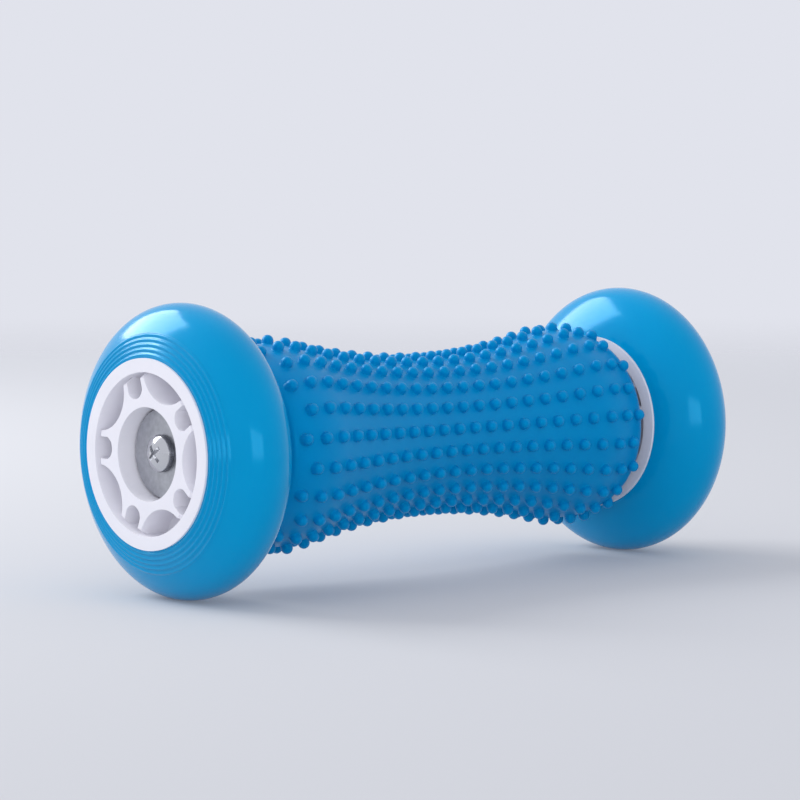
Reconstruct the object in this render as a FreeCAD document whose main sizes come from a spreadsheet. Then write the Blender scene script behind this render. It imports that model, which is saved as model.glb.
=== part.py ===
import FreeCAD, Part
import math
import os

import Sketcher

# Foot massage roller: an hourglass roller under a nubbed sleeve, on a steel axle between two wheels.
# Millimetres. The axle lies along X with its middle at the origin, and +Z is up.
# A piece that comes in pairs is drawn once in its own frame, with +X pointing away from the middle,
# and is set on each side by its Placement.

DRIVING_SIZES = {
    # overall
    "overall_length": 178.5,
    "wheel_diameter": 73.0,
    # wheel: a plastic hub with a soft tyre moulded on its rim
    "hub_width": 23.5,
    "bond_diameter": 46.8,
    "rim_wall": 3.4,
    "web_thickness": 5.5,
    "face_drop": 0.5,
    "boss_diameter": 27.6,
    "recess_diameter": 23.0,
    "rib_pairs": 5,
    "wide_pocket_radius": 9.6,
    "narrow_pocket_width": 5.5,
    "narrow_pocket_bulge": 2.0,
    "rib_shoulder_width": 1.4,
    "rib_shoulder_drop": 2.2,
    "left_hub_angle": 34.0,
    "right_hub_angle": 12.0,
    "tyre_crown_radius": 8.3,
    "tyre_side_radius": 22.0,
    "tyre_blend_angle": 50.0,
    "ridge_count": 5,
    "ridge_pitch": 1.2,
    "ridge_inset": 0.8,
    "ridge_radius": 0.45,
    "ridge_height": 0.3,
    # axle and what runs on it
    "axle_diameter": 10.0,
    "axle_chamfer": 0.5,
    "running_clearance": 0.05,
    "end_float": 0.2,
    "bush_diameter": 13.0,
    "bush_flange_diameter": 17.0,
    "bush_flange_thickness": 1.2,
    "spacer_diameter": 14.0,
    "spacer_clearance": 0.1,
    # end fastening
    "washer_depth": 5.4,
    "washer_diameter": 22.0,
    "washer_thickness": 1.5,
    "washer_hole_diameter": 5.5,
    "washer_edge": 0.25,
    "lock_washer_diameter": 9.2,
    "lock_washer_thickness": 1.0,
    "lock_washer_hole_diameter": 5.3,
    "lock_washer_split": 0.7,
    "lock_washer_angle": 65.0,
    "screw_diameter": 5.0,
    "screw_length": 18.0,
    "screw_head_diameter": 8.8,
    "screw_head_edge": 0.5,
    "screw_head_height": 1.9,
    "cross_span": 4.8,
    "cross_width": 1.0,
    "cross_depth": 1.4,
    "left_cross_angle": 40.0,
    "right_cross_angle": 15.0,
    "thread_depth": 20.0,
    "drill_point": 1.5,
    # roller
    "sleeve_length": 124.0,
    "waist_diameter": 38.6,
    "crest_diameter": 51.0,
    "crest_distance": 51.5,
    "crest_radius": 25.0,
    "sleeve_thickness": 2.5,
    "sleeve_end_rounding": 2.2,
    "core_wall": 2.5,
    "core_web": 4.0,
    "core_draft": 2.6,
    "cap_diameter": 36.0,
    "cap_thickness": 4.0,
    "cap_boss_diameter": 18.0,
    "cap_boss_length": 9.0,
    # nubs on the sleeve
    "nub_diameter": 3.0,
    "nub_height": 2.3,
    "nub_pitch": 5.61,
    "nub_rows": 22,
    "nub_root": 0.8,
    "nub_start_angle": 172.0,
}

AXLE = FreeCAD.Vector(1, 0, 0)
UP = FreeCAD.Vector(0, 0, 1)
SIDES = {"left": -1, "right": 1}
FULL_TURN = 360.0
# the rounding of the sleeve's ends takes at most this share of its wall
ROUNDED_SHARE = 0.9
# two radii nearer to each other than this are the same
CLOSE = 0.001

doc = FreeCAD.newDocument("foot_massage_roller")


class Size:
    """A number and the spreadsheet expression that gives it, so that a property can be bound to it."""

    def __init__(self, value, text):
        self.value = float(value)
        self.text = text

    def __add__(self, other):
        return Size(self.value + plain(other), f"({self.text} + {written(other)})")

    def __sub__(self, other):
        return Size(self.value - plain(other), f"({self.text} - {written(other)})")

    def __mul__(self, other):
        return Size(self.value * plain(other), f"({self.text} * {written(other)})")

    def __truediv__(self, other):
        return Size(self.value / plain(other), f"({self.text} / {written(other)})")

    def __neg__(self):
        return Size(-self.value, f"(0 - {self.text})")


def plain(item):
    """The value of a Size, or the number itself."""
    return item.value if isinstance(item, Size) else float(item)


def written(item):
    """The expression of a Size, or the number as text."""
    return item.text if isinstance(item, Size) else repr(float(item))


def root(size):
    return Size(math.sqrt(size.value), f"sqrt({size.text})")


def sine(size):
    return Size(math.sin(math.radians(size.value)), f"sin({size.text})")


def cosine(size):
    return Size(math.cos(math.radians(size.value)), f"cos({size.text})")


def make_sheet():
    """Write the driving sizes into the spreadsheet and return them as Sizes, by name."""
    sheet = doc.addObject("Spreadsheet::Sheet", "Sizes")
    for row, (name, value) in enumerate(DRIVING_SIZES.items(), start=1):
        sheet.set(f"A{row}", name)
        sheet.set(f"B{row}", str(value))
        sheet.setAlias(f"B{row}", name)
    doc.recompute()
    return {name: Size(sheet.get(name), f"Sizes.{name}") for name in DRIVING_SIZES}


sizes = make_sheet()


NOTHING = Size(0, "0")
HALF_TURN = Size(180, "180")


def bind(item, path, size):
    item.setExpression(path, written(size))


# ---------------------------------------------------------------- sketches and lathe work
# An outline is a list of corners (across, up, bend). The bend is the radius of the edge that leaves
# the corner: None for a straight edge, above zero when the arc's centre lies to the left of the way
# the outline runs, and below zero when it lies to the right.


def arc_centre(start, end, bend):
    """The centre of the shorter arc from start to end, each a vector, with a signed radius."""
    chord = end - start
    reach = math.sqrt(bend * bend - chord.Length * chord.Length / 4)
    left = FreeCAD.Vector(-chord.y, chord.x, 0).normalize()
    return (start + end) * 0.5 + left * math.copysign(reach, bend)


def angle_to(centre, point):
    return math.atan2(point.y - centre.y, point.x - centre.x)


def new_sketch(body, name, role, offset=0.0):
    """A sketch on one of the body's own origin planes, moved along the plane's normal by offset."""
    sketch = body.newObject("Sketcher::SketchObject", name)
    planes = [feature for feature in body.Origin.OriginFeatures if feature.Role == role]
    sketch.AttachmentSupport = [(planes[0], "")]
    sketch.MapMode = "FlatFace"
    bind(sketch, "AttachmentOffset.Base.z", offset)
    return sketch


def fix_point(sketch, edge, end, across, up):
    """Hold one end or centre of an edge at a bound distance from the sketch's origin."""
    for kind, size in (("DistanceX", across), ("DistanceY", up)):
        index = sketch.addConstraint(Sketcher.Constraint(kind, -1, 1, edge, end, plain(size)))
        bind(sketch, f"Constraints[{index}]", size)


def fix_radius(sketch, edge, radius):
    index = sketch.addConstraint(Sketcher.Constraint("Radius", edge, plain(radius)))
    bind(sketch, f"Constraints[{index}]", radius)


def draw_outline(sketch, corners):
    """Draw a closed outline, every corner and every arc's radius bound to the spreadsheet."""
    places = [FreeCAD.Vector(plain(across), plain(up), 0) for across, up, _ in corners]
    starts = []
    ends = []
    for index, (across, up, bend) in enumerate(corners):
        start = places[index]
        end = places[(index + 1) % len(corners)]
        if bend is None:
            edge = sketch.addGeometry(Part.LineSegment(start, end), False)
            ends_of_edge = (1, 2)
        else:
            centre = arc_centre(start, end, plain(bend))
            circle = Part.Circle(centre, UP, abs(plain(bend)))
            runs_left = plain(bend) > 0
            first, last = (start, end) if runs_left else (end, start)
            arc = Part.ArcOfCircle(circle, angle_to(centre, first), angle_to(centre, last))
            edge = sketch.addGeometry(arc, False)
            ends_of_edge = (1, 2) if runs_left else (2, 1)
            fix_radius(sketch, edge, bend if runs_left else -bend)
        fix_point(sketch, edge, ends_of_edge[0], across, up)
        starts.append((edge, ends_of_edge[0]))
        ends.append((edge, ends_of_edge[1]))
    for index, end in enumerate(ends):
        start = starts[(index + 1) % len(starts)]
        sketch.addConstraint(Sketcher.Constraint("Coincident", end[0], end[1], start[0], start[1]))


def backwards(path):
    """The same open run of corners from its other end, where every arc bends the other way."""
    bends = [None if bend is None else -bend for _, _, bend in path[:-1]]
    places = [(across, up) for across, up, _ in path]
    turned = zip(reversed(places), list(reversed(bends)) + [None])
    return [(across, up, bend) for (across, up), bend in turned]


def straight(*places):
    return [(across, up, None) for across, up in places]


def new_body(label):
    body = doc.addObject("PartDesign::Body", label)
    body.Label = label
    return body


def turn(body, name, corners):
    """Turn a closed outline, drawn as (along the axle, out from it), into a solid of revolution."""
    sketch = new_sketch(body, f"{name}_outline", "XZ_Plane")
    draw_outline(sketch, corners)
    solid = body.newObject("PartDesign::Revolution", name)
    solid.Profile = sketch
    solid.ReferenceAxis = (sketch, ["H_Axis"])
    solid.Angle = FULL_TURN
    body.Tip = solid
    return solid


def turned_body(label, corners):
    body = new_body(label)
    turn(body, f"{label}_turned", corners)
    return body


def tube_outline(start, end, inner, outer):
    return straight((start, inner), (end, inner), (end, outer), (start, outer))


def set_on_axle(item, side, distance, angle=0.0):
    """Set a piece at a distance from the middle, its own +X outward, turned about the axle by angle."""
    outward = FreeCAD.Rotation(UP, 0 if side > 0 else 180)
    about_axle = FreeCAD.Rotation(AXLE, plain(angle))
    item.Placement = FreeCAD.Placement(FreeCAD.Vector(), outward.multiply(about_axle))
    bind(item, "Placement.Base.x", distance if side > 0 else -distance)


# ---------------------------------------------------------------- places along the axle

half_length = sizes["overall_length"] / 2
half_hub = sizes["hub_width"] / 2
wheel_middle = half_length - half_hub
axle_end = half_length - sizes["washer_depth"] - sizes["washer_thickness"]
sleeve_end = sizes["sleeve_length"] / 2

axle_radius = sizes["axle_diameter"] / 2
bush_bore = axle_radius + sizes["running_clearance"]
bush_radius = sizes["bush_diameter"] / 2
rim_inside = sizes["bond_diameter"] / 2 - sizes["rim_wall"]
boss_face = half_hub - sizes["face_drop"]

# in the wheel's own frame, where the wheel's middle plane is at zero
recess_floor = axle_end - wheel_middle - sizes["end_float"]
bush_inner_end = boss_face + sizes["bush_flange_thickness"]


# ---------------------------------------------------------------- wheels


def narrow_pocket_outline():
    """A slot that starts inside the rim and ends in a bow on the boss."""
    half_width = sizes["narrow_pocket_width"] / 2
    bulge = sizes["narrow_pocket_bulge"]
    bow = (half_width * half_width + bulge * bulge) / (bulge * 2)
    start = sizes["boss_diameter"] / 2 + bulge
    far = sizes["bond_diameter"] / 2
    return [
        (start, half_width, bow),
        (start, -half_width, None),
        (far, -half_width, None),
        (far, half_width, None),
    ]


def cut_pockets(body, name, side, draw):
    """Cut one pocket from the hub's face down to the web, and repeat it once for each pair of ribs."""
    sketch = new_sketch(body, f"{name}_outline", "YZ_Plane", half_hub if side > 0 else -half_hub)
    draw(sketch)
    pocket = body.newObject("PartDesign::Pocket", name)
    pocket.Profile = sketch
    pocket.Type = "Length"
    bind(pocket, "Length", half_hub - sizes["web_thickness"] / 2)
    pocket.Reversed = side < 0
    body.Tip = pocket
    doc.recompute()
    ring = body.newObject("PartDesign::PolarPattern", f"{name}_ring")
    ring.Originals = [pocket]
    axes = [feature for feature in body.Origin.OriginFeatures if feature.Role == "X_Axis"]
    ring.Axis = (axes[0], [""])
    ring.Angle = FULL_TURN
    bind(ring, "Occurrences", sizes["rib_pairs"])
    body.Tip = ring
    doc.recompute()


def draw_wide_pocket(sketch):
    """A circle that reaches in to the boss, half a step round from the narrow pocket."""
    radius = sizes["wide_pocket_radius"]
    reach = sizes["boss_diameter"] / 2 + radius
    step = HALF_TURN / sizes["rib_pairs"]
    edge = sketch.addGeometry(Part.Circle(FreeCAD.Vector(reach.value, 0, 0), UP, radius.value), False)
    fix_radius(sketch, edge, radius)
    fix_point(sketch, edge, 3, reach * cosine(step), reach * sine(step))


def draw_narrow_pocket(sketch):
    draw_outline(sketch, narrow_pocket_outline())


def make_hub(label):
    """Boss, recess and ribs as one disc with pockets in both faces, inside a plain rim."""
    body = new_body(label)
    shoulder = rim_inside - sizes["rib_shoulder_width"]
    lowered = boss_face - sizes["rib_shoulder_drop"]
    disc = straight(
        (recess_floor, bush_radius),
        (recess_floor, sizes["recess_diameter"] / 2),
        (boss_face, sizes["recess_diameter"] / 2),
        (boss_face, shoulder),
        (lowered, rim_inside),
        (-lowered, rim_inside),
        (-boss_face, shoulder),
        (-boss_face, bush_radius),
    )
    turn(body, f"{label}_disc", disc)
    doc.recompute()
    for face, side in (("outer", 1), ("inner", -1)):
        cut_pockets(body, f"{label}_{face}_wide", side, draw_wide_pocket)
        cut_pockets(body, f"{label}_{face}_narrow", side, draw_narrow_pocket)
    rim = tube_outline(-half_hub, half_hub, rim_inside, sizes["bond_diameter"] / 2)
    turn(body, f"{label}_rim", rim)
    return body


def tyre_side(out_from_axle):
    """Half the tyre's width at a distance out from the axle, on the side arc below the crown's arc."""
    crown = sizes["tyre_crown_radius"]
    side = sizes["tyre_side_radius"]
    blend = sizes["tyre_blend_angle"]
    across = (crown - side) * sine(blend)
    out = sizes["wheel_diameter"] / 2 - crown + (crown - side) * cosine(blend)
    offset = out_from_axle - out
    return across + root(side * side - offset * offset)


def make_tyre(label):
    """A round tyre of three tangent arcs, with fine ridges on the outer face beside the rim."""
    crown = sizes["tyre_crown_radius"]
    side = sizes["tyre_side_radius"]
    blend = sizes["tyre_blend_angle"]
    bond = sizes["bond_diameter"] / 2
    blend_across = crown * sine(blend)
    blend_out = sizes["wheel_diameter"] / 2 - crown + crown * cosine(blend)
    section = [
        (-tyre_side(bond), bond, None),
        (tyre_side(bond), bond, side),
        (blend_across, blend_out, crown),
        (-blend_across, blend_out, side),
    ]
    blank = turned_body(f"{label}_blank", section)
    pieces = [blank]
    for index in range(int(sizes["ridge_count"].value)):
        ridge = doc.addObject("Part::Torus", f"{label}_ridge_{index + 1}")
        out = bond + sizes["ridge_inset"] + sizes["ridge_pitch"] * index
        ridge.Placement.Rotation = FreeCAD.Rotation(UP, AXLE)
        bind(ridge, "Radius1", out)
        bind(ridge, "Radius2", sizes["ridge_radius"])
        bind(ridge, "Placement.Base.x", tyre_side(out) + sizes["ridge_height"] - sizes["ridge_radius"])
        pieces.append(ridge)
    tyre = doc.addObject("Part::MultiFuse", label)
    tyre.Label = label
    tyre.Shapes = pieces
    return tyre


def make_bush(label):
    """A flanged bush pressed into the hub from the roller's side."""
    flange = sizes["bush_flange_diameter"] / 2
    outline = straight(
        (recess_floor, bush_bore),
        (recess_floor, bush_radius),
        (-boss_face, bush_radius),
        (-boss_face, flange),
        (-bush_inner_end, flange),
        (-bush_inner_end, bush_bore),
    )
    return turned_body(label, outline)


# ---------------------------------------------------------------- axle and end fastening


def make_axle():
    """A round bar with a threaded hole in each end."""
    radius = axle_radius
    hole = sizes["screw_diameter"] / 2
    edge = sizes["axle_chamfer"]
    floor = axle_end - sizes["thread_depth"]
    point = floor - sizes["drill_point"]
    half = straight(
        (point, 0.0),
        (floor, hole),
        (axle_end, hole),
        (axle_end, radius - edge),
        (axle_end - edge, radius),
    )
    other_half = [(-across, up, None) for across, up, _ in reversed(half)]
    return turned_body("axle_rod", half + other_half)


def make_retaining_washer(label):
    """A flat washer with a rounded-off rim, clamped on the axle's end."""
    thickness = sizes["washer_thickness"]
    hole = sizes["washer_hole_diameter"] / 2
    rim = sizes["washer_diameter"] / 2
    edge = sizes["washer_edge"]
    outline = straight(
        (0.0, hole),
        (0.0, rim - edge),
        (edge, rim),
        (thickness - edge, rim),
        (thickness, rim - edge),
        (thickness, hole),
    )
    return turned_body(label, outline)


def make_lock_washer(label):
    """A split spring washer: a flat ring with one narrow gap."""
    ring = turned_body(
        f"{label}_ring",
        tube_outline(
            0.0,
            sizes["lock_washer_thickness"],
            sizes["lock_washer_hole_diameter"] / 2,
            sizes["lock_washer_diameter"] / 2,
        ),
    )
    gap = doc.addObject("Part::Box", f"{label}_gap")
    bind(gap, "Length", sizes["lock_washer_thickness"])
    bind(gap, "Width", sizes["lock_washer_split"])
    bind(gap, "Height", sizes["lock_washer_diameter"] / 2)
    bind(gap, "Placement.Base.y", -sizes["lock_washer_split"] / 2)
    washer = doc.addObject("Part::Cut", label)
    washer.Label = label
    washer.Base = ring
    washer.Tool = gap
    return washer


def cross_outline():
    """The plus-shaped driver recess, its arms along the sketch's two axes."""
    arm = sizes["cross_span"] / 2
    half_width = sizes["cross_width"] / 2
    quarter = [(arm, -half_width), (arm, half_width), (half_width, half_width)]
    outline = []
    for _ in range(4):
        outline += quarter
        quarter = [(-up, across) for across, up in quarter]
    return straight(*outline)


def make_screw(label):
    """A low domed head with a cross recess, on a plain shank the size of the thread."""
    head = sizes["screw_head_diameter"] / 2
    edge = sizes["screw_head_edge"]
    rise = sizes["screw_head_height"] - edge
    dome = (head * head + rise * rise) / (rise * 2)
    shank = sizes["screw_diameter"] / 2
    body = new_body(label)
    outline = [
        (-sizes["screw_length"], 0.0, None),
        (sizes["screw_head_height"], 0.0, dome),
        (edge, head, None),
        (0.0, head, None),
        (0.0, shank, None),
        (-sizes["screw_length"], shank, None),
    ]
    turn(body, f"{label}_turned", outline)
    doc.recompute()
    sketch = new_sketch(body, f"{label}_cross_outline", "YZ_Plane", sizes["screw_head_height"])
    draw_outline(sketch, cross_outline())
    pocket = body.newObject("PartDesign::Pocket", f"{label}_cross")
    pocket.Profile = sketch
    pocket.Type = "Length"
    bind(pocket, "Length", sizes["cross_depth"])
    body.Tip = pocket
    return body


def make_spacer(label):
    """A short tube that keeps the wheel clear of the roller's end."""
    length = wheel_middle - bush_inner_end - sizes["end_float"] - sleeve_end
    inner = axle_radius + sizes["spacer_clearance"]
    return turned_body(label, tube_outline(0.0, length, inner, sizes["spacer_diameter"] / 2))


# ---------------------------------------------------------------- roller

crest_rise = (sizes["crest_diameter"] - sizes["waist_diameter"]) / 2
radii_sum = (sizes["crest_distance"] * sizes["crest_distance"] + crest_rise * crest_rise) / (crest_rise * 2)
lean_sine = sizes["crest_distance"] / radii_sum
lean_cosine = (radii_sum - crest_rise) / radii_sum


def hourglass(inset):
    """The roller's profile from the left end to the right, inset below the sleeve's outer surface.

    A hollow arc at the waist runs tangent into a round shoulder at each end. The two radii add up
    to radii_sum, which puts the shoulders' crests at their distance and height.
    """
    shoulder = sizes["crest_radius"] - inset
    hollow = radii_sum - shoulder
    past_crest = sleeve_end - sizes["crest_distance"]
    end_radius = sizes["crest_diameter"] / 2 - sizes["crest_radius"]
    end_radius = end_radius + root(shoulder * shoulder - past_crest * past_crest)
    meet_along = hollow * lean_sine
    meet_out = sizes["waist_diameter"] / 2 - inset + hollow - hollow * lean_cosine
    return [
        (-sleeve_end, end_radius, -shoulder),
        (-meet_along, meet_out, hollow),
        (meet_along, meet_out, -shoulder),
        (sleeve_end, end_radius, None),
    ]


def make_core():
    """A hollow hourglass tube with a web at the waist and a seat for a cap at each end."""
    seat = sizes["cap_diameter"] / 2
    seat_floor = sleeve_end - sizes["cap_thickness"]
    narrow = sizes["waist_diameter"] / 2 - sizes["sleeve_thickness"] - sizes["core_wall"]
    wide = narrow + sizes["core_draft"]
    web = sizes["core_web"] / 2
    right_half = straight(
        (sleeve_end, seat),
        (seat_floor, seat),
        (seat_floor, wide),
        (web, narrow),
        (web, axle_radius),
    )
    left_half = [(-across, up, None) for across, up, _ in reversed(right_half)]
    outline = hourglass(sizes["sleeve_thickness"]) + right_half + left_half
    return turned_body("core_tube", outline)


def make_end_cap(label):
    """A disc that closes the core's end and holds it on the axle, with a boss on the inside."""
    thickness = sizes["cap_thickness"]
    boss = sizes["cap_boss_diameter"] / 2
    depth = thickness + sizes["cap_boss_length"]
    outline = straight(
        (0.0, axle_radius),
        (0.0, sizes["cap_diameter"] / 2),
        (-thickness, sizes["cap_diameter"] / 2),
        (-thickness, boss),
        (-depth, boss),
        (-depth, axle_radius),
    )
    return turned_body(label, outline)


def edge_between(start, end, bend):
    """One edge of an outline: a line, or an arc through the point midway round it."""
    if bend is None:
        return Part.LineSegment(start, end).toShape()
    centre = arc_centre(start, end, plain(bend))
    middle = ((start + end) * 0.5 - centre).normalize() * abs(plain(bend)) + centre
    return Part.Arc(start, middle, end).toShape()


def outline_face(corners):
    places = [FreeCAD.Vector(plain(across), plain(up), 0) for across, up, _ in corners]
    following = places[1:] + places[:1]
    bends = [bend for _, _, bend in corners]
    edges = [edge_between(*ends) for ends in zip(places, following, bends)]
    return Part.Face(Part.Wire(edges))


def surface_at(along):
    """The sleeve's radius at a place along the axle, and how steeply it rises there."""
    distance = abs(along)
    shoulder = sizes["crest_radius"].value
    hollow = radii_sum.value - shoulder
    if distance < hollow * lean_sine.value:
        reach = math.sqrt(hollow * hollow - distance * distance)
        radius = sizes["waist_diameter"].value / 2 + hollow - reach
        slope = distance / reach
    else:
        short = sizes["crest_distance"].value - distance
        reach = math.sqrt(shoulder * shoulder - short * short)
        radius = sizes["crest_diameter"].value / 2 - shoulder + reach
        slope = short / reach
    return radius, math.copysign(slope, along)


def make_nub(along, angle):
    """A round-ended peg that stands square to the sleeve's surface, its root sunk in the sleeve."""
    radius = sizes["nub_diameter"].value / 2
    height = sizes["nub_height"].value
    out, slope = surface_at(along)
    foot = FreeCAD.Vector(along, out, 0)
    outward = FreeCAD.Vector(-slope, 1, 0).normalize()
    sideways = FreeCAD.Vector(1, slope, 0).normalize()
    bottom = foot - outward * sizes["nub_root"].value
    round_centre = foot + outward * (height - radius)
    shoulder = round_centre + sideways * radius
    tip = foot + outward * height
    between = round_centre + (outward + sideways).normalize() * radius
    edges = [
        Part.LineSegment(bottom, bottom + sideways * radius).toShape(),
        Part.LineSegment(bottom + sideways * radius, shoulder).toShape(),
        Part.Arc(shoulder, between, tip).toShape(),
        Part.LineSegment(tip, bottom).toShape(),
    ]
    nub = Part.Face(Part.Wire(edges)).revolve(foot, outward, FULL_TURN)
    nub.rotate(FreeCAD.Vector(), AXLE, angle)
    return nub


def nub_places(first):
    """Places along the axle from the first one out to the sleeve's edge, on both sides of the middle."""
    pitch = sizes["nub_pitch"].value
    limit = sleeve_end.value - sizes["nub_diameter"].value / 2
    places = []
    along = first
    while along <= limit:
        places += [along, -along] if along > 0 else [along]
        along += pitch
    return places


def make_skin():
    """The sleeve without its nubs: an even wall turned about the axle, its outer end edges rounded."""
    outline = hourglass(NOTHING) + backwards(hourglass(sizes["sleeve_thickness"]))
    skin = outline_face(outline).revolve(FreeCAD.Vector(), AXLE, FULL_TURN)
    rounding = min(sizes["sleeve_end_rounding"].value, sizes["sleeve_thickness"].value * ROUNDED_SHARE)
    end_radius = hourglass(NOTHING)[0][1].value
    rims = [edge for edge in skin.Edges if is_rim(edge, end_radius)]
    return skin.makeFillet(rounding, rims)


def is_rim(edge, radius):
    """Whether an edge is a circle about the axle with this radius."""
    return isinstance(edge.Curve, Part.Circle) and abs(edge.Curve.Radius - radius) < CLOSE


def make_sleeve():
    """The soft sleeve: a skin with rows of nubs, every second row half a step along."""
    skin = make_skin()
    rows = int(sizes["nub_rows"].value)
    nubs = []
    for row in range(rows):
        angle = sizes["nub_start_angle"].value + row * FULL_TURN / rows
        first = sizes["nub_pitch"].value / 2 if row % 2 == 0 else 0.0
        nubs += [make_nub(along, angle) for along in nub_places(first)]
    sleeve = doc.addObject("Part::Feature", "spiked_sleeve")
    sleeve.Label = "spiked_sleeve"
    sleeve.Shape = skin.fuse(nubs)
    sleeve.Placement = FreeCAD.Placement()
    return sleeve


# ---------------------------------------------------------------- assembly


def make_pair(name, maker, distance, angles=None):
    """The left and right copies of a piece, each at its distance from the middle."""
    pair = []
    for side_name, side in SIDES.items():
        piece = maker(f"{name}_{side_name}")
        set_on_axle(piece, side, distance, angles[side_name] if angles else 0.0)
        pair.append(piece)
    return pair


def make_roller():
    """Every piece of the roller, as the list of objects that become parts."""
    washer_face = axle_end + sizes["washer_thickness"]
    lock_face = washer_face + sizes["lock_washer_thickness"]
    hub_angles = {"left": sizes["left_hub_angle"], "right": sizes["right_hub_angle"]}
    cross_angles = {"left": sizes["left_cross_angle"], "right": sizes["right_cross_angle"]}
    split_angles = {side_name: sizes["lock_washer_angle"] for side_name in SIDES}
    pieces = [make_axle(), make_core(), make_sleeve()]
    pieces += make_pair("end_cap", make_end_cap, sleeve_end)
    pieces += make_pair("thrust_spacer", make_spacer, sleeve_end)
    pieces += make_pair("hub", make_hub, wheel_middle, hub_angles)
    pieces += make_pair("tyre", make_tyre, wheel_middle)
    pieces += make_pair("hub_bush", make_bush, wheel_middle)
    pieces += make_pair("retaining_washer", make_retaining_washer, axle_end)
    pieces += make_pair("lock_washer", make_lock_washer, washer_face, split_angles)
    pieces += make_pair("end_screw", make_screw, lock_face, cross_angles)
    return pieces


def check(pieces):
    """Stop if any object failed, or if any piece isn't one valid solid."""
    for item in doc.Objects:
        if "Invalid" in item.State or "Error" in item.State:
            raise RuntimeError(f"{item.Label} failed: {item.State}")
    for piece in pieces:
        if piece.Shape.isNull() or not piece.Shape.isValid() or len(piece.Shape.Solids) != 1:
            raise RuntimeError(f"{piece.Label} isn't one valid solid")


def write(pieces):
    os.makedirs("parts", exist_ok=True)
    for piece in pieces:
        piece.Shape.exportStep(os.path.join("parts", f"{piece.Label}.step"))
        print(f"{piece.Label}: {piece.Shape.Volume:.1f} mm3")


roller = make_roller()
doc.recompute()
check(roller)
write(roller)
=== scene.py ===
"""Looks for the foot massage roller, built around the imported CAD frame. Metres, +X along the axle."""

import math

import bmesh
import bpy
from mathutils import Matrix, Vector


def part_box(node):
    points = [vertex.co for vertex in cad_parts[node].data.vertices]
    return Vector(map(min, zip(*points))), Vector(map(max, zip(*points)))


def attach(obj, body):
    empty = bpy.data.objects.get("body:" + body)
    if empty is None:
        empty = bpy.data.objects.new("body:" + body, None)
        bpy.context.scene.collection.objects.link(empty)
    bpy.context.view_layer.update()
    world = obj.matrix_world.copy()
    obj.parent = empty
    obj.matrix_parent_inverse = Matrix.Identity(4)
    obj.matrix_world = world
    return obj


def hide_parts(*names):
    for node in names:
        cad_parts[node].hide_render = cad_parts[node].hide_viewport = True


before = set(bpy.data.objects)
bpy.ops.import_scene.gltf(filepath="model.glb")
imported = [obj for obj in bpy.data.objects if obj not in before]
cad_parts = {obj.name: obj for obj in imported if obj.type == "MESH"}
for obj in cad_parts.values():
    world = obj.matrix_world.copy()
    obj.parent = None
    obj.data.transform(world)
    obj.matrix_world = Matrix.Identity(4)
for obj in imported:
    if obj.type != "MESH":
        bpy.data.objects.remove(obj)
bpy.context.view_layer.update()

MM = 0.001


# ---------------------------------------------------------------- small helpers


def linear(red, green, blue, alpha=1.0):
    """A colour given as 0..255 screen values, as the linear values that shaders use."""

    def channel(value):
        value /= 255
        return value / 12.92 if value <= 0.04045 else ((value + 0.055) / 1.055) ** 2.4

    return (channel(red), channel(green), channel(blue), alpha)


def new_object(name, data):
    obj = bpy.data.objects.new(name, data)
    bpy.context.scene.collection.objects.link(obj)
    return obj


def closed_mesh(name, vertices, faces, sharp_angle=math.pi):
    """A smooth-shaded mesh with its normals outward, and its edges over an angle kept sharp."""
    mesh = bpy.data.meshes.new(name)
    mesh.from_pydata(vertices, [], faces)
    mesh.validate()
    work = bmesh.new()
    work.from_mesh(mesh)
    bmesh.ops.recalc_face_normals(work, faces=work.faces)
    for edge in work.edges:
        if edge.is_manifold and edge.calc_face_angle(0.0) > sharp_angle:
            edge.smooth = False
    work.to_mesh(mesh)
    work.free()
    for polygon in mesh.polygons:
        polygon.use_smooth = True
    return mesh


def arc(centre, radius, start, end, steps):
    """Points round an arc in the (along, out) plane, from one angle to another in degrees."""
    points = []
    for step in range(steps + 1):
        angle = math.radians(start + (end - start) * step / steps)
        points.append((centre[0] + radius * math.cos(angle), centre[1] + radius * math.sin(angle)))
    return points


def on_circle(along, out, angle):
    """A point at a distance out from the X axis, turned about it."""
    return (along, out * math.cos(angle), out * math.sin(angle))


def lathe_mesh(name, profile, segments):
    """A closed profile of (along, out) points, turned about the X axis."""
    vertices = []
    for segment in range(segments):
        angle = 2 * math.pi * segment / segments
        vertices += [on_circle(along, out, angle) for along, out in profile]
    count = len(profile)
    faces = []
    for segment in range(segments):
        here = segment * count
        there = (segment + 1) % segments * count
        for index in range(count):
            following = (index + 1) % count
            faces.append((here + index, here + following, there + following, there + index))
    return closed_mesh(name, vertices, faces)


# ---------------------------------------------------------------- materials

BLUE_REFLECTION = (0.02, 0.6, 1.0, 1.0)
SUBSURFACE_SCALE = 2 * MM


def new_material(name):
    material = bpy.data.materials.new(name)
    material.use_nodes = True
    nodes = material.node_tree.nodes
    return material, nodes, material.node_tree.links, nodes["Principled BSDF"]


def object_coordinates(nodes):
    return nodes.new("ShaderNodeTexCoord").outputs["Object"]


def noise(nodes, links, vector, scale, detail=3.0, roughness=0.5):
    """Cloudy 0..1 values, with the scale in features per metre."""
    texture = nodes.new("ShaderNodeTexNoise")
    texture.inputs["Scale"].default_value = scale
    texture.inputs["Detail"].default_value = detail
    texture.inputs["Roughness"].default_value = roughness
    links.new(vector, texture.inputs["Vector"])
    return texture.outputs["Fac"]


def ramp(nodes, links, value, low, high):
    """Map a 0..1 value to a range."""
    mapping = nodes.new("ShaderNodeMapRange")
    mapping.inputs["To Min"].default_value = low
    mapping.inputs["To Max"].default_value = high
    links.new(value, mapping.inputs["Value"])
    return mapping.outputs["Result"]


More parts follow.
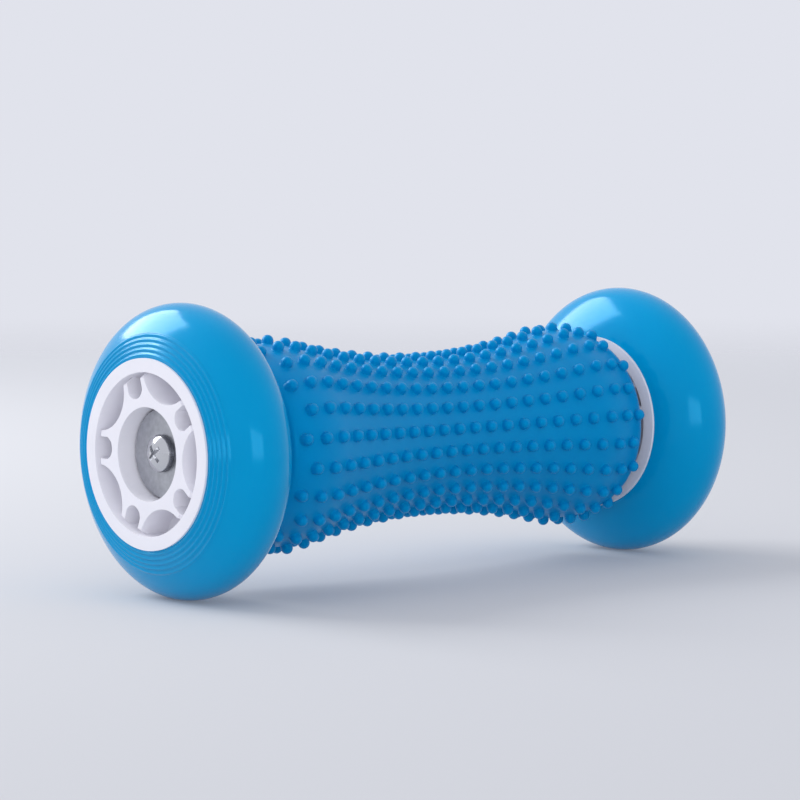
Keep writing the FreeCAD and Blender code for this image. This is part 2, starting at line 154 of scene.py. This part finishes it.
def mix_colours(nodes, links, value, low, high):
    blend = nodes.new("ShaderNodeMix")
    blend.data_type = "RGBA"
    blend.inputs["A"].default_value = low
    blend.inputs["B"].default_value = high
    links.new(value, blend.inputs["Factor"])
    return blend.outputs["Result"]


def bump(nodes, links, height, distance, strength, shader):
    node = nodes.new("ShaderNodeBump")
    node.inputs["Distance"].default_value = distance
    node.inputs["Strength"].default_value = strength
    links.new(height, node.inputs["Height"])
    links.new(node.outputs["Normal"], shader.inputs["Normal"])


def tyre_material():
    """Glossy sky-blue soft moulding: even colour, slight cloudiness, a very light orange peel."""
    material, nodes, links, shader = new_material("glossy_blue_tyre")
    place = object_coordinates(nodes)
    cloud = noise(nodes, links, place, 60.0)
    links.new(
        mix_colours(nodes, links, cloud, linear(0, 145, 199), linear(0, 153, 207)),
        shader.inputs["Base Color"],
    )
    links.new(ramp(nodes, links, noise(nodes, links, place, 220.0), 0.13, 0.19), shader.inputs["Roughness"])
    shader.inputs["Specular Tint"].default_value = BLUE_REFLECTION
    shader.inputs["Subsurface Weight"].default_value = 0.12
    shader.inputs["Subsurface Radius"].default_value = (0.2, 0.6, 1.0)
    shader.inputs["Subsurface Scale"].default_value = SUBSURFACE_SCALE
    shader.inputs["Coat Weight"].default_value = 0.1
    shader.inputs["Coat Roughness"].default_value = 0.1
    bump(nodes, links, noise(nodes, links, place, 900.0, 2.0), 0.02 * MM, 0.25, shader)
    return material


def sleeve_material():
    """Satin blue rubber: nearly even colour, slight cloudiness and a fine grain."""
    material, nodes, links, shader = new_material("satin_blue_sleeve")
    place = object_coordinates(nodes)
    cloud = noise(nodes, links, place, 90.0)
    links.new(
        mix_colours(nodes, links, cloud, linear(0, 133, 192), linear(0, 142, 202)),
        shader.inputs["Base Color"],
    )
    links.new(ramp(nodes, links, noise(nodes, links, place, 500.0), 0.3, 0.42), shader.inputs["Roughness"])
    shader.inputs["Specular Tint"].default_value = BLUE_REFLECTION
    shader.inputs["Subsurface Weight"].default_value = 0.15
    shader.inputs["Subsurface Radius"].default_value = (0.15, 0.5, 1.0)
    shader.inputs["Subsurface Scale"].default_value = SUBSURFACE_SCALE
    bump(nodes, links, noise(nodes, links, place, 2600.0, 2.0), 0.03 * MM, 0.35, shader)
    return material


def plastic_material(name, low, high, rough_low, rough_high):
    """Moulded plastic: nearly even colour, satin, with a fine moulded texture."""
    material, nodes, links, shader = new_material(name)
    place = object_coordinates(nodes)
    links.new(
        mix_colours(nodes, links, noise(nodes, links, place, 120.0), low, high),
        shader.inputs["Base Color"],
    )
    links.new(
        ramp(nodes, links, noise(nodes, links, place, 400.0), rough_low, rough_high),
        shader.inputs["Roughness"],
    )
    shader.inputs["Subsurface Weight"].default_value = 0.1
    shader.inputs["Subsurface Radius"].default_value = (1.0, 0.95, 0.9)
    shader.inputs["Subsurface Scale"].default_value = SUBSURFACE_SCALE
    bump(nodes, links, noise(nodes, links, place, 1800.0, 2.0), 0.02 * MM, 0.3, shader)
    return material


def zinc_material():
    """Zinc-plated steel: mottled light grey, its gloss broken up in small cells."""
    material, nodes, links, shader = new_material("zinc_plate")
    place = object_coordinates(nodes)
    cells = nodes.new("ShaderNodeTexVoronoi")
    cells.inputs["Scale"].default_value = 700.0
    links.new(place, cells.inputs["Vector"])
    cloud = noise(nodes, links, place, 500.0, 6.0, 0.65)
    links.new(
        mix_colours(nodes, links, cloud, linear(150, 152, 156), linear(205, 207, 212)),
        shader.inputs["Base Color"],
    )
    shader.inputs["Metallic"].default_value = 1.0
    links.new(ramp(nodes, links, cells.outputs["Distance"], 0.3, 0.48), shader.inputs["Roughness"])
    bump(nodes, links, noise(nodes, links, place, 2500.0, 4.0), 0.02 * MM, 0.4, shader)
    return material


def bright_metal_material(name, colour, rough_low, rough_high):
    """Bare or nickel-plated metal of one colour, its gloss slightly uneven."""
    material, nodes, links, shader = new_material(name)
    place = object_coordinates(nodes)
    shader.inputs["Base Color"].default_value = colour
    shader.inputs["Metallic"].default_value = 1.0
    links.new(
        ramp(nodes, links, noise(nodes, links, place, 900.0, 4.0), rough_low, rough_high),
        shader.inputs["Roughness"],
    )
    bump(nodes, links, noise(nodes, links, place, 1500.0, 3.0), 0.01 * MM, 0.3, shader)
    return material


# ---------------------------------------------------------------- sizes read from the frame

hub_low, hub_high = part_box("hub_left")
wheel_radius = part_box("tyre_left")[1].z
bond_radius = hub_high.z
wheel_middle = abs(hub_low.x + hub_high.x) / 2
sleeve_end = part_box("core_tube")[1].x

# ---------------------------------------------------------------- tyres

CROWN_RADIUS = 8.3 * MM
SIDE_RADIUS = 22.0 * MM
BLEND_ANGLE = 50.0
RIDGE_COUNT = 5
RIDGE_PITCH = 1.2 * MM
RIDGE_INSET = 0.8 * MM
RIDGE_HEIGHT = 0.3 * MM
TYRE_SEGMENTS = 224
RIDGED_STEPS = 150
CROWN_STEPS = 48
PLAIN_STEPS = 40


def tyre_profile():
    """The closed section of a tyre, its mid-plane at zero and its ridged face towards +X."""
    crown_out = wheel_radius - CROWN_RADIUS
    lean = math.radians(BLEND_ANGLE)
    side_along = (CROWN_RADIUS - SIDE_RADIUS) * math.sin(lean)
    side_out = crown_out + (CROWN_RADIUS - SIDE_RADIUS) * math.cos(lean)
    foot_angle = math.degrees(math.asin((bond_radius - side_out) / SIDE_RADIUS))
    ridged = []
    for along, out in arc(
        (side_along, side_out), SIDE_RADIUS, foot_angle, 90 - BLEND_ANGLE, RIDGED_STEPS
    ):
        turn = (out - bond_radius - RIDGE_INSET) / RIDGE_PITCH
        rise = 0.0
        if -0.5 < turn < RIDGE_COUNT - 0.5:
            rise = RIDGE_HEIGHT * (0.5 + 0.5 * math.cos(2 * math.pi * turn))
        angle = math.atan2(out - side_out, along - side_along)
        ridged.append((along + rise * math.cos(angle), out + rise * math.sin(angle)))
    crown = arc((0.0, crown_out), CROWN_RADIUS, 90 - BLEND_ANGLE, 90 + BLEND_ANGLE, CROWN_STEPS)[1:-1]
    plain = arc((-side_along, side_out), SIDE_RADIUS, 90 + BLEND_ANGLE, 180 - foot_angle, PLAIN_STEPS)
    return ridged + crown + plain


def make_tyre(side_name, side, material):
    """A smooth tyre in place of the CAD one, its ridged face outward."""
    mesh = lathe_mesh(f"tyre_{side_name}_looks", tyre_profile(), TYRE_SEGMENTS)
    if side < 0:
        mesh.transform(Matrix.Rotation(math.pi, 4, "Z"))
    mesh.transform(Matrix.Translation((side * wheel_middle, 0, 0)))
    tyre = new_object(f"tyre_{side_name}_looks", mesh)
    mesh.materials.append(material)
    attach(tyre, f"wheel_{side_name}")
    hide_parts(f"tyre_{side_name}")


# ---------------------------------------------------------------- sleeve

WAIST_RADIUS = 19.3 * MM
CREST_RADIUS = 25.5 * MM
CREST_DISTANCE = 51.5 * MM
SHOULDER_RADIUS = 25.0 * MM
SLEEVE_THICKNESS = 2.5 * MM
END_ROUNDING = 2.2 * MM
NUB_RADIUS = 1.5 * MM
NUB_HEIGHT = 2.3 * MM
NUB_FOOT = 0.24 * MM
NUB_PITCH = 5.61 * MM
NUB_ROWS = 22
NUB_START = math.radians(172.0)
STEPS = 6  # grid steps along each side of a nub's cell
BORE_STATIONS = 30
EASE_SHARE = 0.45  # how near the ring round a nub stays to its foot: 0 on the foot, 1 on the border
SHARP_ANGLE = math.radians(60)

crest_rise = CREST_RADIUS - WAIST_RADIUS
radii_sum = (CREST_DISTANCE**2 + crest_rise**2) / (2 * crest_rise)
hollow_radius = radii_sum - SHOULDER_RADIUS
hollow_end = hollow_radius * CREST_DISTANCE / radii_sum

# the rounded edge at each end is an arc that touches the shoulder's arc and the end face
shoulder_centre = Vector((CREST_DISTANCE, CREST_RADIUS - SHOULDER_RADIUS))
round_along = sleeve_end - END_ROUNDING - CREST_DISTANCE
round_out = math.sqrt((SHOULDER_RADIUS - END_ROUNDING) ** 2 - round_along**2)
round_centre = shoulder_centre + Vector((round_along, round_out))
round_angle = math.degrees(math.atan2(round_out, round_along))
round_start = round_centre.x + END_ROUNDING * math.cos(math.radians(round_angle))
skin_end = round_start + END_ROUNDING * math.radians(round_angle)


def sleeve_radius(along, inset=0.0):
    """The skin's distance from the axis, or that of a surface some way inside it."""
    distance = abs(along)
    if distance < hollow_end:
        hollow = hollow_radius + inset
        return WAIST_RADIUS + hollow_radius - math.sqrt(hollow**2 - distance**2)
    short = CREST_DISTANCE - distance
    return CREST_RADIUS - SHOULDER_RADIUS + math.sqrt((SHOULDER_RADIUS - inset) ** 2 - short**2)


def sleeve_slope(along):
    """How fast the skin's distance from the axis grows along it."""
    distance = abs(along)
    if distance < hollow_end:
        slope = distance / math.sqrt(hollow_radius**2 - distance**2)
    else:
        short = CREST_DISTANCE - distance
        slope = short / math.sqrt(SHOULDER_RADIUS**2 - short**2)
    return math.copysign(slope, along)


def skin_point(along, angle):
    """A point on the outer surface. Past the rounding's start, along goes on round the rounding."""
    past = abs(along) - round_start
    if past <= 0:
        return on_circle(along, sleeve_radius(along), angle)
    turn = math.radians(round_angle) - past / END_ROUNDING
    end_along = round_centre.x + END_ROUNDING * math.cos(turn)
    out = round_centre.y + END_ROUNDING * math.sin(turn)
    return on_circle(math.copysign(end_along, along), out, angle)


def nub_foot():
    """Rings of a nub's flared foot, as (distance from its axis, height above the skin)."""
    rings = [(NUB_RADIUS + NUB_FOOT, 0.0)]
    for angle in (30, 60):
        turn = math.radians(angle)
        rings.append((NUB_RADIUS + NUB_FOOT * (1 - math.sin(turn)), NUB_FOOT * (1 - math.cos(turn))))
    return rings


def nub_peg():
    """Rings of a nub from above its foot to just below its tip, as (distance from its axis, height)."""
    dome = NUB_HEIGHT - NUB_RADIUS
    rings = [(NUB_RADIUS, NUB_FOOT), (NUB_RADIUS, dome)]
    for angle in (15, 30, 45, 60, 75):
        turn = math.radians(angle)
        rings.append((NUB_RADIUS * math.cos(turn), dome + NUB_RADIUS * math.sin(turn)))
    return rings


class SleeveMesh:
    """One closed skin: a grid round the roller in which each cell holds a nub."""

    def __init__(self):
        self.vertices = []
        self.faces = []
        self.grid = {}
        self.pitch_step = NUB_PITCH / STEPS
        self.last = math.ceil(skin_end / self.pitch_step)
        self.around = NUB_ROWS * STEPS

    def along(self, column):
        """Where a column of the grid lies along the skin, cut off at the end faces."""
        return max(-skin_end, min(skin_end, column * self.pitch_step))

    def angle(self, row):
        """The angle of a row round the axis."""
        return NUB_START + 2 * math.pi * (row / self.around - 0.5 / NUB_ROWS)

    def add(self, point):
        """Add a vertex and give its number."""
        self.vertices.append(point)
        return len(self.vertices) - 1

    def at(self, column, row):
        """The vertex on the skin at a place in the grid, made the first time it is asked for."""
        key = (column, row % self.around)
        if key not in self.grid:
            self.grid[key] = self.add(skin_point(self.along(column), self.angle(key[1])))
        return self.grid[key]

    def plain_cell(self, first, last, row):
        """Bare skin from column first to last and one row high."""
        for column in range(first, last):
            for step in range(row, row + STEPS):
                corners = (
                    self.at(column, step),
                    self.at(column + 1, step),
                    self.at(column + 1, step + 1),
                    self.at(column, step + 1),
                )
                self.faces.append(corners)

    def bridge(self, outer, inner):
        """Join two closed rings of as many vertices with a band of faces."""
        count = len(outer)
        for index in range(count):
            following = (index + 1) % count
            self.faces.append((outer[index], outer[following], inner[following], inner[index]))

    def nub_cell(self, first, last, centre, row):
        """A cell from column first to last and one row high, with a nub on its centre column."""
        top = row + STEPS
        border = [(column, row) for column in range(first, last)]
        border += [(last, step) for step in range(row, top)]
        border += [(column, top) for column in range(last, first, -1)]
        border += [(first, step) for step in range(top, row, -1)]
        middle_along = self.along(centre)
        middle_angle = self.angle(row + STEPS / 2)
        middle = Vector(skin_point(middle_along, middle_angle))
        radius = sleeve_radius(middle_along)
        slope = sleeve_slope(middle_along)
        lean = math.hypot(1, slope)
        radial = Vector((0, math.cos(middle_angle), math.sin(middle_angle)))
        outward = (radial - Vector((slope, 0, 0))) / lean
        sideways = (radial * slope + Vector((1, 0, 0))) / lean
        tangent = Vector((0, -math.sin(middle_angle), math.cos(middle_angle)))

        def on_skin(across, along_tangent, height):
            place = Vector(skin_point(middle_along + across / lean, middle_angle + along_tangent / radius))
            return place + outward * height

        def on_peg(across, along_tangent, height):
            return middle + sideways * across + tangent * along_tangent + outward * height

        reaches = []
        for column, step in border:
            across = (self.along(column) - middle_along) * lean
            reaches.append((across, (self.angle(step) - middle_angle) * radius))
        outer = [self.at(column, step) for column, step in border]
        # the first ring eases from the cell's border to the nub's round foot
        foot = NUB_RADIUS + NUB_FOOT
        angles = [math.atan2(along_tangent, across) for across, along_tangent in reaches]
        first_ring = []
        for (across, along_tangent), angle in zip(reaches, angles):
            distance = foot + (math.hypot(across, along_tangent) - foot) * EASE_SHARE
            first_ring.append(self.add(on_skin(distance * math.cos(angle), distance * math.sin(angle), 0.0)))
        self.bridge(outer, first_ring)
        outer = first_ring
        for rings, place in ((nub_foot(), on_skin), (nub_peg(), on_peg)):
            for distance, height in rings:
                inner = []
                for angle in angles:
                    inner.append(
                        self.add(place(distance * math.cos(angle), distance * math.sin(angle), height))
                    )
                self.bridge(outer, inner)
                outer = inner
        tip = self.add(middle + outward * NUB_HEIGHT)
        for index in range(len(outer)):
            self.faces.append((outer[index], outer[(index + 1) % len(outer)], tip))

    def outside(self):
        """The skin with its nubs, each row shifted by half a pitch from the one before."""
        half = STEPS // 2
        furthest = (sleeve_end - NUB_RADIUS) / self.pitch_step
        for index in range(NUB_ROWS):
            row = index * STEPS
            centre = half if index % 2 == 0 else 0
            centres = []
            while centre <= furthest:
                centres += [centre] if centre == 0 else [centre, -centre]
                centre += STEPS
            centres.sort()
            edges = [(max(-self.last, c - half), c, min(self.last, c + half)) for c in centres]
            if edges[0][0] > -self.last:
                self.plain_cell(-self.last, edges[0][0], row)
            for first, middle, last in edges:
                self.nub_cell(first, last, middle, row)
            if edges[-1][2] < self.last:
                self.plain_cell(edges[-1][2], self.last, row)

    def inside(self):
        """The end faces and the bore, which follows the outer surface at the skin's thickness."""
        bore = []
        for station in range(BORE_STATIONS + 1):
            along = sleeve_end * (1 - 2 * station / BORE_STATIONS)
            bore.append((along, sleeve_radius(along, SLEEVE_THICKNESS)))
        rings = [[self.at(self.last, row) for row in range(self.around)]]
        for along, out in bore:
            rings.append([self.add(on_circle(along, out, self.angle(row))) for row in range(self.around)])
        rings.append([self.at(-self.last, row) for row in range(self.around)])
        for outer, inner in zip(rings, rings[1:]):
            self.bridge(outer, inner)


def make_sleeve(material):
    """A sleeve with smooth flared nubs in place of the CAD one."""
    builder = SleeveMesh()
    builder.outside()
    builder.inside()
    vertices = [tuple(vertex) for vertex in builder.vertices]
    mesh = closed_mesh("sleeve_looks", vertices, builder.faces, SHARP_ANGLE)
    mesh.materials.append(material)
    sleeve = new_object("sleeve_looks", mesh)
    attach(sleeve, "roller")
    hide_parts("spiked_sleeve")


# ---------------------------------------------------------------- the CAD pieces that show as they are

WELD_DISTANCE = 1e-6
BEVEL_SEGMENTS = 3
BEVEL_ANGLE = math.radians(35)
HUB_EDGE = 0.8 * MM
LOCK_WASHER_EDGE = 0.08 * MM
SCREW_EDGE = 0.06 * MM


def dress_node(name, material, bevel_width=0.0):
    """Give a CAD node its material and, without touching its mesh, soften its edges."""
    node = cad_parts[name]
    node.data.materials.clear()
    node.data.materials.append(material)
    if bevel_width:
        weld = node.modifiers.new("weld", "WELD")
        weld.merge_threshold = WELD_DISTANCE
        bevel = node.modifiers.new("bevel", "BEVEL")
        bevel.width = bevel_width
        bevel.segments = BEVEL_SEGMENTS
        bevel.limit_method = "ANGLE"
        bevel.angle_limit = BEVEL_ANGLE
        bevel.harden_normals = True


# ---------------------------------------------------------------- studio

FADE_START = 0.32  # distances from the object between which the floor thins out to nothing
FADE_END = 1.6
PAPER_COLOUR = linear(189, 190, 192)
PAPER_GLOW = 0.15
SKY_COLOUR = linear(225, 227, 236)
CAMERA_YAW = math.radians(42.552)
CAMERA_PITCH = math.radians(4.077)
CAMERA_DISTANCE = 0.80885
CAMERA_SIDE = -0.00402
CAMERA_RISE = 0.00895
CAMERA_LENS = 139.2
BACKDROP_SEGMENTS = 96

view_away = Vector((math.sin(CAMERA_YAW), math.cos(CAMERA_YAW), 0))
view_right = Vector((math.cos(CAMERA_YAW), -math.sin(CAMERA_YAW), 0))


def studio_point(right, away, up):
    """A point placed as the camera sees it: to its right, away from it and up from the axle."""
    return view_right * right + view_away * away + Vector((0, 0, up))


def make_camera():
    """A long lens low down, to the left of the object's front."""
    forward = view_away * math.cos(CAMERA_PITCH) - Vector((0, 0, math.sin(CAMERA_PITCH)))
    up = view_right.cross(forward)
    data = bpy.data.cameras.new("camera")
    data.sensor_width = 36.0
    data.lens = CAMERA_LENS
    data.clip_start = 0.01
    camera = new_object("camera", data)
    camera.location = view_right * CAMERA_SIDE + up * CAMERA_RISE - forward * CAMERA_DISTANCE
    camera.rotation_euler = forward.to_track_quat("-Z", "Y").to_euler()
    bpy.context.scene.camera = camera


def backdrop_material():
    """Pale matt paper that thins out to nothing far from the object, so that no horizon shows."""
    material, nodes, links, shader = new_material("backdrop_paper")
    shader.inputs["Base Color"].default_value = PAPER_COLOUR
    shader.inputs["Roughness"].default_value = 0.85
    shader.inputs["Specular IOR Level"].default_value = 0.1
    shader.inputs["Emission Color"].default_value = SKY_COLOUR
    shader.inputs["Emission Strength"].default_value = PAPER_GLOW
    distance = nodes.new("ShaderNodeVectorMath")
    distance.operation = "LENGTH"
    links.new(object_coordinates(nodes), distance.inputs[0])
    fade = nodes.new("ShaderNodeMapRange")
    fade.interpolation_type = "SMOOTHSTEP"
    fade.inputs["From Min"].default_value = FADE_START
    fade.inputs["From Max"].default_value = FADE_END
    fade.inputs["To Min"].default_value = 1.0
    fade.inputs["To Max"].default_value = 0.0
    links.new(distance.outputs["Value"], fade.inputs["Value"])
    links.new(fade.outputs["Result"], shader.inputs["Alpha"])
    return material


def make_backdrop():
    """A round floor under the wheels."""
    rim = []
    for segment in range(BACKDROP_SEGMENTS):
        angle = 2 * math.pi * segment / BACKDROP_SEGMENTS
        rim.append((FADE_END * math.cos(angle), FADE_END * math.sin(angle), 0.0))
    mesh = bpy.data.meshes.new("backdrop")
    mesh.from_pydata(rim, [], [list(range(BACKDROP_SEGMENTS))])
    mesh.materials.append(backdrop_material())
    backdrop = new_object("backdrop", mesh)
    backdrop.location.z = -wheel_radius


def make_light(name, place, width, height, power):
    """A white soft box that faces the middle of the object."""
    data = bpy.data.lights.new(name, "AREA")
    data.shape = "RECTANGLE"
    data.size = width
    data.size_y = height
    data.energy = power
    light = new_object(name, data)
    light.location = place
    light.rotation_euler = (-place).to_track_quat("-Z", "Y").to_euler()


def make_studio():
    """A pale sky, a soft box above left and behind for the highlights and shadow, and one in front."""
    bpy.context.scene.view_settings.view_transform = "Standard"
    make_light("key", studio_point(-0.78, 0.4, 0.6), width=0.66, height=0.58, power=8.0)
    make_light("fill", studio_point(0.1, -1.4, 0.1), width=0.9, height=0.5, power=4.0)
    world = bpy.data.worlds.new("studio")
    bpy.context.scene.world = world
    world.use_nodes = True
    background = world.node_tree.nodes["Background"]
    background.inputs["Color"].default_value = SKY_COLOUR
    background.inputs["Strength"].default_value = 1.0


# ---------------------------------------------------------------- build

gloss_blue = tyre_material()
soft_blue = sleeve_material()
white_plastic = plastic_material("white_plastic", linear(232, 231, 238), linear(240, 239, 245), 0.32, 0.42)
nylon = plastic_material("natural_nylon", linear(222, 219, 208), linear(230, 227, 217), 0.4, 0.5)
zinc = zinc_material()
steel = bright_metal_material("bright_steel", linear(170, 171, 175), 0.25, 0.4)
nickel = bright_metal_material("nickel_plate", linear(206, 207, 210), 0.08, 0.2)
dark_steel = bright_metal_material("dark_spring_steel", linear(120, 122, 128), 0.2, 0.35)

make_camera()
make_backdrop()
make_studio()
make_sleeve(soft_blue)
for side_name, side in (("left", -1), ("right", 1)):
    make_tyre(side_name, side, gloss_blue)
    dress_node(f"hub_{side_name}", white_plastic, HUB_EDGE)
    dress_node(f"hub_bush_{side_name}", nylon)
    dress_node(f"end_cap_{side_name}", white_plastic)
    dress_node(f"thrust_spacer_{side_name}", nylon)
    dress_node(f"retaining_washer_{side_name}", zinc)
    dress_node(f"lock_washer_{side_name}", dark_steel, LOCK_WASHER_EDGE)
    dress_node(f"end_screw_{side_name}", nickel, SCREW_EDGE)
dress_node("axle_rod", steel)
dress_node("core_tube", white_plastic)
